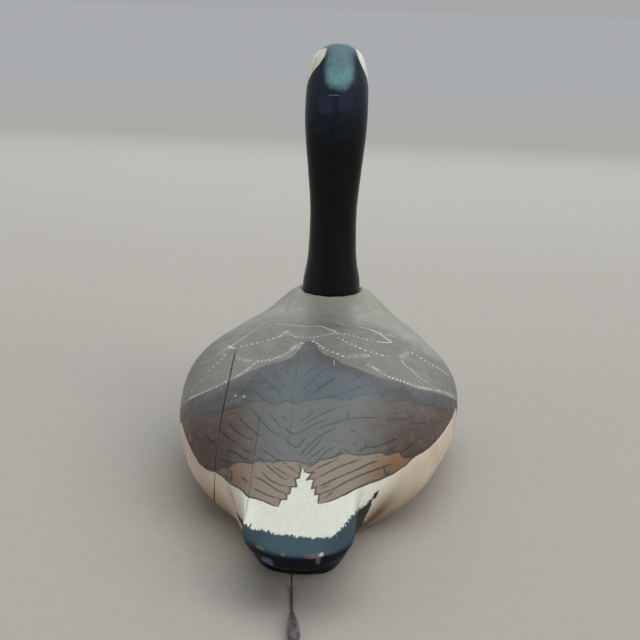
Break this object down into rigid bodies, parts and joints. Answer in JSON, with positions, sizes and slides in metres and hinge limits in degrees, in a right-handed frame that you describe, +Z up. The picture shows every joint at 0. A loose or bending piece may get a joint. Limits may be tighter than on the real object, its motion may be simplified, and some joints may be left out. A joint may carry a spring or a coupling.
{
  "type": "carved wooden goose decoy",
  "caption": "Carved and painted wooden goose decoy with an upright head, paddle tail and flat underside, trailing a short anchor line and weight.",
  "frame": {"origin": "centre of the base of the decoy's bounding box, on the surface that its flat underside stands on", "axes": "+Y forwards towards the bill, +X towards the bird's right side, +Z up"},
  "size_m": [0.2616, 0.5897, 0.3855],
  "materials": {
    "painted_body": "oil paint on carved wood: grey mantle with dotted feather edges, dark brown wing feathers, white rump, cream flanks and black tail, with cracks and wear",
    "painted_head": "satin black paint on carved wood with white cheek patches",
    "glass_eye": "dark brown glass",
    "iron_wire": "dull, tarnished wire",
    "anchor_line": "dark tarred twine",
    "lead": "oxidised lead"
  },
  "bodies": {
    "root": {"body": "painted_body", "head_and_neck": "painted_head", "left_eye": "glass_eye", "right_eye": "glass_eye", "line_tie": "iron_wire", "cord": "anchor_line", "anchor_weight": "lead"}
  },
  "joints": []
}
